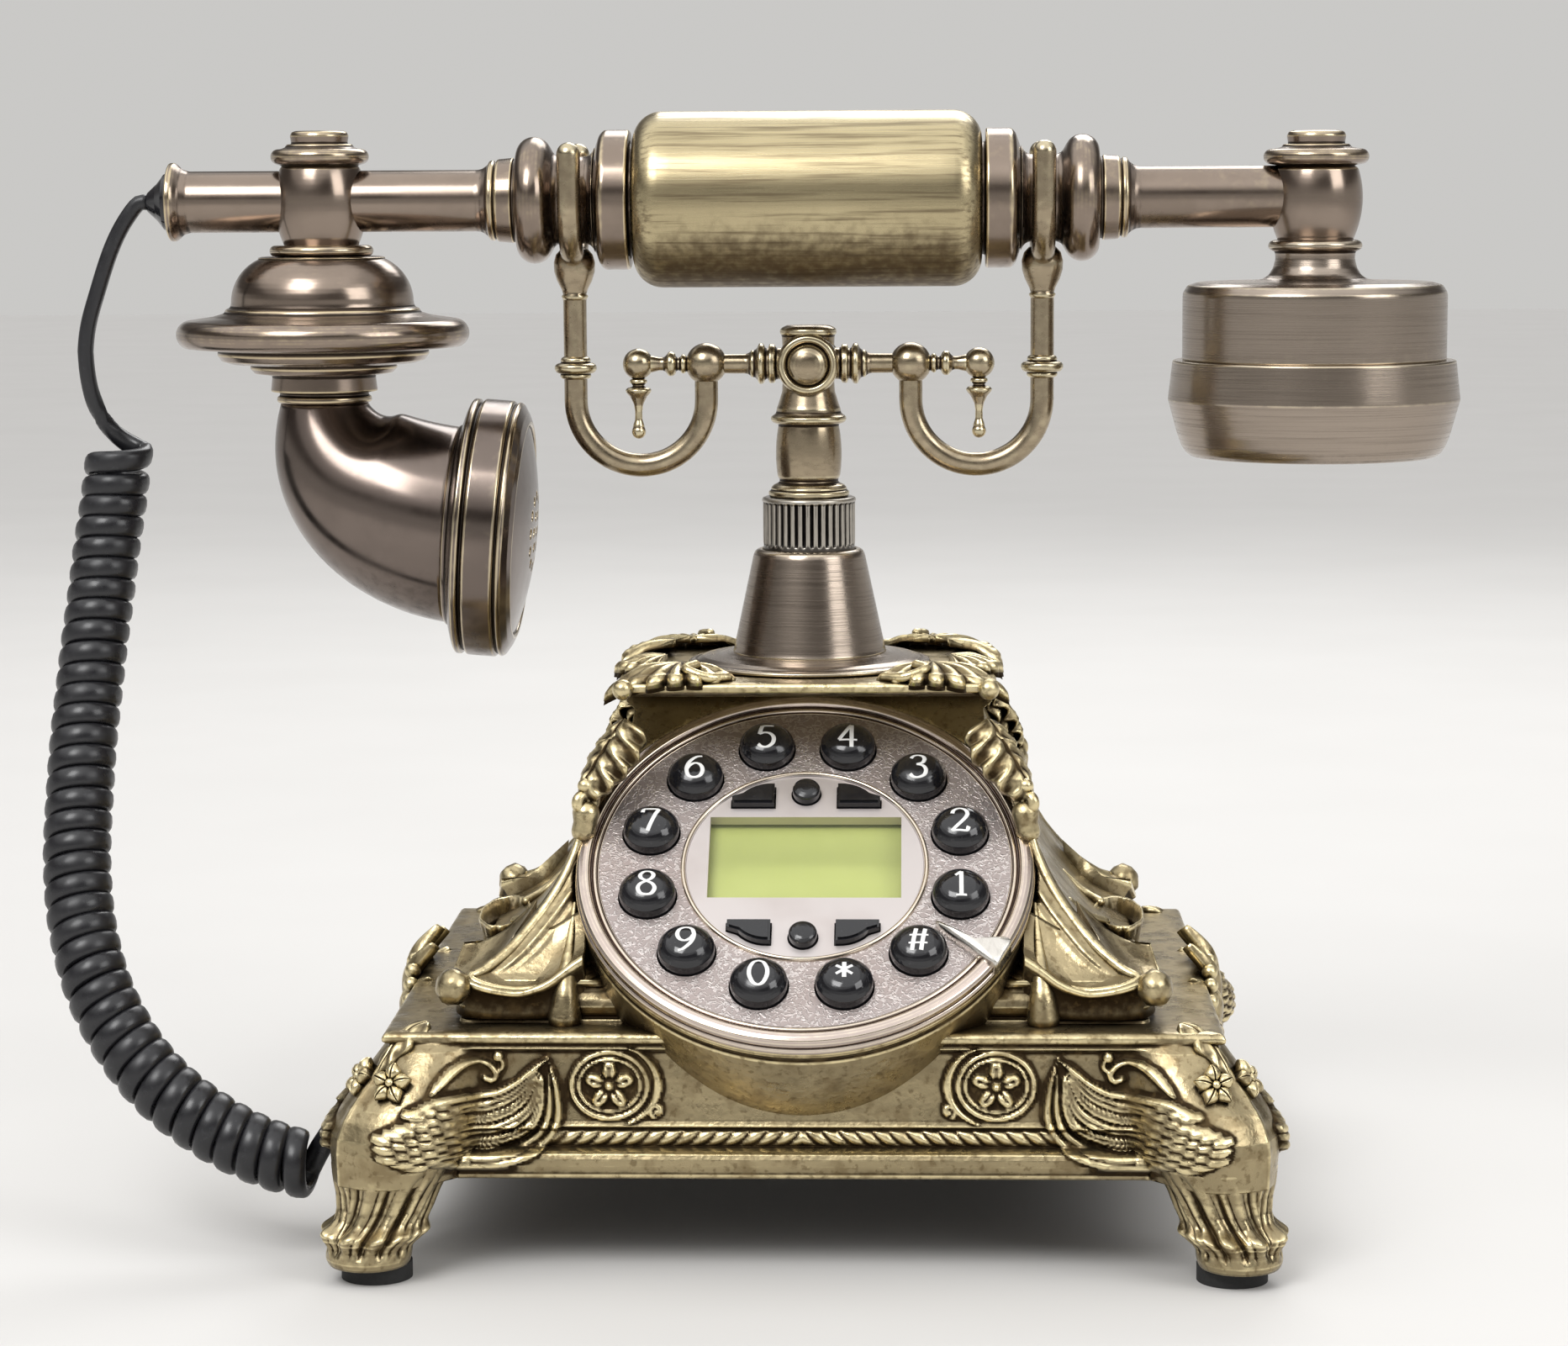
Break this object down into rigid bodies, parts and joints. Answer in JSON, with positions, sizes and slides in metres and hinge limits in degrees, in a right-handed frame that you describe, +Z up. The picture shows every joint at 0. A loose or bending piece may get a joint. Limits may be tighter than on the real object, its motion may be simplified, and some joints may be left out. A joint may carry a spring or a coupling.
{
  "type": "french-style cradle phone",
  "caption": "Ornamental push-button telephone: footed casting with a tilted round dial, a mast with a sprung cradle, and a turned metal handset on a coiled cord.",
  "frame": {"origin": "on the table under the mast's axis, at the middle of the object's footprint", "axes": "+Z up, -Y to the front where the dial faces, +X along the handset to the earpiece"},
  "size_m": [0.3129, 0.1686, 0.2444],
  "materials": {
    "antique_gold": "cast, antiqued gold with dark recesses",
    "antique_brass": "turned, satin antique brass",
    "grip_brass": "brushed along its length, antique brass plated",
    "antique_bronze": "polished antique bronze plating",
    "dial_metal": "grained mauve-silver casting",
    "bright_steel": "polished",
    "black_plastic": "glossy moulded",
    "black_matte": "matte moulded",
    "ribbed_black": "dark grooves, worn silvery rib tops",
    "display_glass": "clear window",
    "display": "pale yellow-green liquid crystal",
    "keypad_rubber": "silicone mat",
    "circuit_board": "green board",
    "dark_sheet": "black painted sheet",
    "foot_rubber": "black rubber",
    "cord_vinyl": "glossy black cord jacket",
    "plug_clear": "translucent modular plug"
  },
  "bodies": {
    "base": {"base_shell": "antique_gold", "bottom_plate": "dark_sheet", "screws": "bright_steel", "rubber_feet": "foot_rubber", "face_plate": "dial_metal", "face_bezel": "bright_steel", "finger_stop": "bright_steel", "display_lens": "display_glass", "display_panel": "display", "keypad_mat": "keypad_rubber", "keypad_board": "circuit_board", "main_board": "circuit_board", "ringer": "black_matte", "line_jack": "black_plastic", "cord_jack": "black_plastic", "hook_switch": "bright_steel", "mast_cone": "antique_brass", "mast_flange": "antique_brass", "mast_nut": "bright_steel", "cradle_spring": "bright_steel", "cord_coil": "cord_vinyl", "cord_tail": "cord_vinyl", "cord_plug": "plug_clear"},
    "cradle": {"hook_sleeve": "ribbed_black", "cradle_post": "antique_brass", "left_fork": "antique_brass", "right_fork": "antique_brass"},
    "handset": {"grip_barrel": "grip_brass", "grip_collars": "grip_brass", "left_stem": "antique_bronze", "right_stem": "antique_bronze", "mouthpiece_mount": "antique_bronze", "mouthpiece_shroud": "antique_bronze", "mouthpiece_horn": "antique_bronze", "mouthpiece_cap": "antique_bronze", "microphone": "black_matte", "earpiece_mount": "antique_bronze", "earpiece_cup": "grip_brass", "earpiece_cap": "grip_brass", "earpiece_speaker": "black_matte", "cord_gland": "black_plastic", "cord_lead": "cord_vinyl"},
    "key_1_body": {"key_1": "black_plastic"},
    "key_2_body": {"key_2": "black_plastic"},
    "key_3_body": {"key_3": "black_plastic"},
    "key_4_body": {"key_4": "black_plastic"},
    "key_5_body": {"key_5": "black_plastic"},
    "key_6_body": {"key_6": "black_plastic"},
    "key_7_body": {"key_7": "black_plastic"},
    "key_8_body": {"key_8": "black_plastic"},
    "key_9_body": {"key_9": "black_plastic"},
    "key_0_body": {"key_0": "black_plastic"},
    "key_star_body": {"key_star": "black_plastic"},
    "key_hash_body": {"key_hash": "black_plastic"},
    "key_upper_left_body": {"key_upper_left": "black_plastic"},
    "key_upper_right_body": {"key_upper_right": "black_plastic"},
    "key_lower_left_body": {"key_lower_left": "black_plastic"},
    "key_lower_right_body": {"key_lower_right": "black_plastic"},
    "key_top_round_body": {"key_top_round": "black_plastic"},
    "key_bottom_round_body": {"key_bottom_round": "black_plastic"}
  },
  "joints": [
    {"name": "hook", "type": "slide", "parent": "base", "child": "cradle", "axis": [0, 0, 1], "range_m": [0, 0.004], "stiffness_N_per_m": 400, "springref_m": 0.01, "deforming": ["cradle_spring"]},
    {"name": "handset_lift", "type": "slide", "parent": "cradle", "child": "handset", "axis": [0, 0, 1], "range_m": [0, 0.045]},
    {"name": "key_1_press", "type": "slide", "parent": "base", "child": "key_1_body", "axis": [0, 0.632, -0.7749], "range_m": [0, 0.0015], "stiffness_N_per_m": 600, "springref_m": -0.0005},
    {"name": "key_2_press", "type": "slide", "parent": "base", "child": "key_2_body", "axis": [0, 0.632, -0.7749], "range_m": [0, 0.0015], "stiffness_N_per_m": 600, "springref_m": -0.0005},
    {"name": "key_3_press", "type": "slide", "parent": "base", "child": "key_3_body", "axis": [0, 0.632, -0.7749], "range_m": [0, 0.0015], "stiffness_N_per_m": 600, "springref_m": -0.0005},
    {"name": "key_4_press", "type": "slide", "parent": "base", "child": "key_4_body", "axis": [0, 0.632, -0.7749], "range_m": [0, 0.0015], "stiffness_N_per_m": 600, "springref_m": -0.0005},
    {"name": "key_5_press", "type": "slide", "parent": "base", "child": "key_5_body", "axis": [0, 0.632, -0.7749], "range_m": [0, 0.0015], "stiffness_N_per_m": 600, "springref_m": -0.0005},
    {"name": "key_6_press", "type": "slide", "parent": "base", "child": "key_6_body", "axis": [0, 0.632, -0.7749], "range_m": [0, 0.0015], "stiffness_N_per_m": 600, "springref_m": -0.0005},
    {"name": "key_7_press", "type": "slide", "parent": "base", "child": "key_7_body", "axis": [0, 0.632, -0.7749], "range_m": [0, 0.0015], "stiffness_N_per_m": 600, "springref_m": -0.0005},
    {"name": "key_8_press", "type": "slide", "parent": "base", "child": "key_8_body", "axis": [0, 0.632, -0.7749], "range_m": [0, 0.0015], "stiffness_N_per_m": 600, "springref_m": -0.0005},
    {"name": "key_9_press", "type": "slide", "parent": "base", "child": "key_9_body", "axis": [0, 0.632, -0.7749], "range_m": [0, 0.0015], "stiffness_N_per_m": 600, "springref_m": -0.0005},
    {"name": "key_0_press", "type": "slide", "parent": "base", "child": "key_0_body", "axis": [0, 0.632, -0.7749], "range_m": [0, 0.0015], "stiffness_N_per_m": 600, "springref_m": -0.0005},
    {"name": "key_star_press", "type": "slide", "parent": "base", "child": "key_star_body", "axis": [0, 0.632, -0.7749], "range_m": [0, 0.0015], "stiffness_N_per_m": 600, "springref_m": -0.0005},
    {"name": "key_hash_press", "type": "slide", "parent": "base", "child": "key_hash_body", "axis": [0, 0.632, -0.7749], "range_m": [0, 0.0015], "stiffness_N_per_m": 600, "springref_m": -0.0005},
    {"name": "key_upper_left_press", "type": "slide", "parent": "base", "child": "key_upper_left_body", "axis": [0, 0.632, -0.7749], "range_m": [0, 0.0015], "stiffness_N_per_m": 600, "springref_m": -0.0005},
    {"name": "key_upper_right_press", "type": "slide", "parent": "base", "child": "key_upper_right_body", "axis": [0, 0.632, -0.7749], "range_m": [0, 0.0015], "stiffness_N_per_m": 600, "springref_m": -0.0005},
    {"name": "key_lower_left_press", "type": "slide", "parent": "base", "child": "key_lower_left_body", "axis": [0, 0.632, -0.7749], "range_m": [0, 0.0015], "stiffness_N_per_m": 600, "springref_m": -0.0005},
    {"name": "key_lower_right_press", "type": "slide", "parent": "base", "child": "key_lower_right_body", "axis": [0, 0.632, -0.7749], "range_m": [0, 0.0015], "stiffness_N_per_m": 600, "springref_m": -0.0005},
    {"name": "key_top_round_press", "type": "slide", "parent": "base", "child": "key_top_round_body", "axis": [0, 0.632, -0.7749], "range_m": [0, 0.0015], "stiffness_N_per_m": 600, "springref_m": -0.0005},
    {"name": "key_bottom_round_press", "type": "slide", "parent": "base", "child": "key_bottom_round_body", "axis": [0, 0.632, -0.7749], "range_m": [0, 0.0015], "stiffness_N_per_m": 600, "springref_m": -0.0005}
  ]
}
